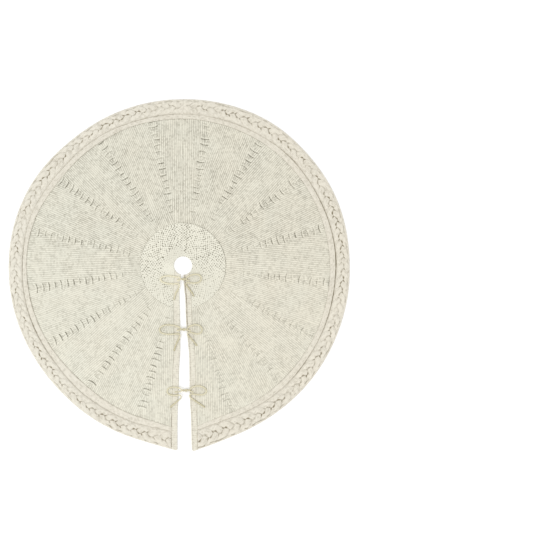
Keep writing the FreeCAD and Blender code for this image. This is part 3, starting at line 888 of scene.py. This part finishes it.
def plait(twist, across, room):
    """The plait's top strand at each point.

    Gives its height, the height of the strand below, the place across it in millimetres and in half widths,
    and which way it leans.
    """
    swing, half = 0.27 * room, 0.235 * room
    height, second = np.full(twist.shape, NO_STRAND), np.full(twist.shape, NO_STRAND)
    place, rim, lean = np.zeros(twist.shape), np.zeros(twist.shape), np.zeros(twist.shape)
    for strand in range(STRANDS):
        phase = 2 * math.pi * twist / PLAIT_PERIOD + 2 * math.pi * strand / STRANDS
        slope = swing * np.cos(phase) * 2 * math.pi / PLAIT_PERIOD
        offset = (across - swing * np.sin(phase)) / np.sqrt(1 + slope**2)
        dome = np.sqrt(np.clip(1 - (offset / half) ** 2, 0, 1))
        here = np.where(np.abs(offset) < half, 1.6 * np.sin(2 * phase) + 2.2 * dome, NO_STRAND)
        wins = here > height
        second = np.where(wins, height, np.maximum(second, here))
        place = np.where(wins, offset, place)
        rim = np.where(wins, offset / half, rim)
        lean = np.where(wins, np.sin(phase), lean)
        height = np.where(wins, here, height)
    return height, second, place, rim, lean


def make_cable(side):
    """The plaited cable along the hem, with its plain rolled edge."""
    psi, v, x, y = border_grid(side, "hem", "groove", columns=1380, rows=42)
    width = line_radius(side, psi, "hem") - line_radius(side, psi, "groove")
    from_hem, from_groove = v * width, width - v * width
    along = np.radians(psi) * CABLE_RADIUS + (20 if side == RIGHT else 60)
    course = along / COURSE
    room = width - ROLLED_EDGE - 4.0
    across = from_hem - ROLLED_EDGE - room / 2
    twist = along + 8 * noise1(along / 40, 12)
    height, second, place, rim, lean = plait(twist, across, room)
    covered, crossing = height > NO_STRAND, second > NO_STRAND
    wale = np.where(covered, place, from_hem) / BORDER_WALE

    seed = 80 + (side == RIGHT)
    lump = noise2(along / 8, from_hem / 8, seed)
    braid = step(from_hem, ROLLED_EDGE - 2.5, ROLLED_EDGE + 2.0)
    back_join = near(x, 14) * (y > 0)
    level = np.maximum(height, 0.3) * (1 - back_join) + back_join * 2.6
    ribs = 0.35 * np.cos(2 * math.pi * np.where(covered, wale, 0))
    plaited = 5.6 + level + 0.4 * lump + ribs
    plain = 4.6 + 0.4 * lump + 0.6 * np.sin(math.pi * np.clip(from_hem / ROLLED_EDGE, 0, 1))
    plain = plain + 0.35 * np.cos(2 * math.pi * from_hem / BORDER_WALE)
    top = plain + (plaited - plain) * braid
    top = np.minimum(top, 5.0 + 0.75 * np.clip(from_groove, 0, 40))
    top = 1.4 + (top - 1.4) * rounded(from_hem, 4.5)

    # Painted shadow where the top strand lies over another, on its side away from its lean and heavier for
    # one lean, varied at random leaf by leaf; painted shade in the broad valleys and bare gaps between
    # strands.
    close = np.clip(1 - (height - second) / 1.7, 0, 1) * crossing
    valley = np.clip(1 - (height - second) / 3.6, 0, 1) ** 2 * crossing
    leaf = cells(twist / 21, across / 60 + 0.5, seed + 2)
    facing = step(-rim * np.sign(lean), 0.0, 0.5) * np.where(lean > 0, 1.0, 0.55)
    dark = 1.7 * close**1.5 * facing * (0.15 + 0.95 * leaf**1.5) * covered
    dark = dark + 0.10 * (1 - covered) + 0.16 * valley
    dark = dark * (1 - back_join) * (0.7 + 0.4 * lump) * braid
    # Painted shade in the gaps beside the lowest stitches, and patchy tone.
    _, shadow = stitches(wale + 0.5, course, seed + 6)
    dark = dark + 0.48 * shadow + 0.06 * (1 - lump) + 0.03 + 0.03 * step(psi, 125, 150)
    dark = dark + groove_shade(side, psi, along, from_groove, seed + 4)
    # Painted shade in dashes along a wavy line about 7 mm in from the hem.
    edge_shade_dashes = step(noise1(along / 13, seed + 8), 0.45, 0.8) * (0.45 + 0.25 * step(psi, 146, 154))
    dark = dark + edge_shade_dashes * near(from_hem - 7 - 1.6 * np.sin(along / 9), 1.4)
    make_cloth(
        f"cable_border_{side}", side, x, y, top, dark, (wale + 0.5, course),
        BORDER,
    )


# Slit bands ----------------------------------------------------------------------------------------------

RIB_PITCH, CHAIN_PITCH = 6.3, 4.4
CORNER_BEND = {LEFT: 7.0, RIGHT: 11.0}


def make_slit_band(side):
    """The ribbed band along one edge of the slit."""
    v, u = grid(columns=480, rows=20)
    aside = v * BAND_WIDTH
    psi = np.linspace(150, 182, 400)
    hem_x, hem_y = from_centre(side, psi, line_radius(side, psi, "hem"))
    order = np.argsort(hem_x)
    start, stop = np.full_like(v, -25), np.full_like(v, -640)
    for _ in range(5):
        x = slit_x(side, start) + OUTWARD[side] * aside
        start = -np.sqrt(np.maximum(HOLE**2 - x**2, 1))
        x = slit_x(side, stop) + OUTWARD[side] * aside
        stop = np.interp(x, hem_x[order], hem_y[order])
    stop = stop + CORNER_BEND[side] * (1 - rounded(aside, CORNER_BEND[side]))
    y = start + u * (stop - start)
    x = slit_x(side, y) + OUTWARD[side] * aside

    seed = 90 + (side == RIGHT)
    along, from_gores = -y, BAND_WIDTH - aside
    lump = noise2(along / 7, aside / 7, seed)
    rib = wave(along / RIB_PITCH)
    top = 4.6 + 0.9 * rib + 0.5 * lump
    chain = near(aside - 2.6, 1.6)
    top = top + 0.5 * chain * (0.6 + 0.4 * np.cos(2 * math.pi * along / CHAIN_PITCH))
    ends = np.minimum(rounded(y - stop, 4.0), rounded(start - y, 3.0))
    top = 1.6 + (top - 1.6) * np.minimum(rounded(aside, 3.0), ends)
    top = top - 1.2 * near(from_gores, 1.6)

    _, shadow = stitches(along / RIB_PITCH, aside / CHAIN_PITCH, seed + 6)
    # Painted shade between the ribs and in the gaps beside the lowest stitches, with patchy tone; less of it
    # near the hole on the left.
    dark = 0.2 * (1 - rib) * (0.2 + lump) + 0.10 * (1 - lump) ** 2 + 0.45 * shadow
    dash = 0.5 + noise1(along / 8, seed + 5)
    # Painted shade along the dip at the join with the gores, darker on the left from 525 to 580 mm forward of
    # the hole.
    join_dark = 0.12
    if side == LEFT:
        dark = dark * (0.5 + 0.5 * step(along, 90, 200))
        join_dark = join_dark + 0.6 * step(along, 525, 540) * (1 - step(along, 568, 580))
    dark = dark + join_dark * dash * near(from_gores, 1.9)
    if side == RIGHT:
        # Painted shadow along the right band, 4.4 mm in from the slit's edge.
        edge_dark = table_value(SLIT_EDGE_DARK, along)
        dark = dark + edge_dark * (0.6 + 0.6 * dash) * near(aside - 4.4, 1.5)
    make_cloth(
        f"slit_band_{side}", side, x, y, top, dark, (along / RIB_PITCH, aside / CHAIN_PITCH),
        BAND,
    )


def make_floor():
    """The plain pale floor, which isn't part of the object."""
    bpy.ops.mesh.primitive_plane_add(size=24, location=(0, 0, 0))
    floor = bpy.context.object
    floor.name = "floor"
    paint = Nodes("floor")
    paint.shader.inputs["Base Color"].default_value = (0.96, 0.96, 0.96, 1)
    paint.shader.inputs["Roughness"].default_value = 1.0
    paint.shader.inputs["Specular IOR Level"].default_value = 0.0
    floor.data.materials.append(paint.material)


make_floor()
for half in (LEFT, RIGHT):
    make_yoke(half)
    for gore in range(FULL_GORES + 2):
        make_gore(half, gore)
    make_plain_band(half)
    make_cable(half)
    make_slit_band(half)
